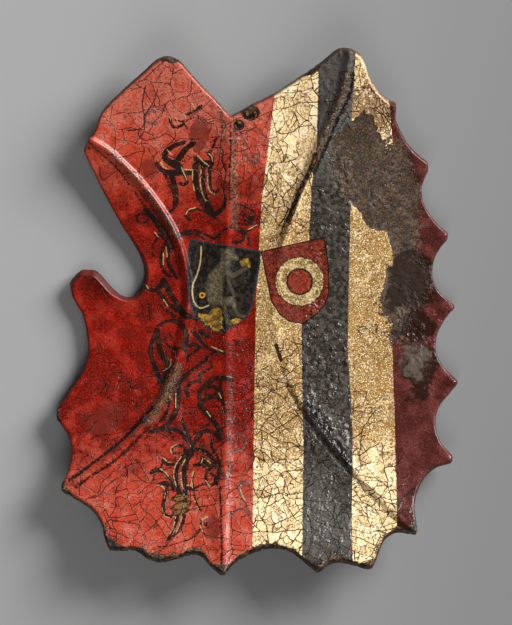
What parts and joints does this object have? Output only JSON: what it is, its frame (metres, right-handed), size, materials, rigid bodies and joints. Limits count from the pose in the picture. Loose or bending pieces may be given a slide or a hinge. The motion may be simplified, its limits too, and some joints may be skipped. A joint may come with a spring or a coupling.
{
  "type": "targe",
  "caption": "Dished wooden horseman's shield with a scalloped edge, a lance notch at its side, a V cut in its upper end, and raised ribs down its painted front.",
  "frame": {"origin": "centre of the outline's box, on the surface that the shield lies on", "axes": "+Z is the way the painted front faces, +Y towards the upper end with the V, +X to the right seen from the front"},
  "size_m": [0.4256, 0.56, 0.0754],
  "materials": {
    "painted_board": "oil paint on gesso and hide over a wooden board, crazed, rubbed along the ribs and worn to brown at the points of the edge"
  },
  "bodies": {
    "root": {"shield_body": "painted_board"}
  },
  "joints": []
}
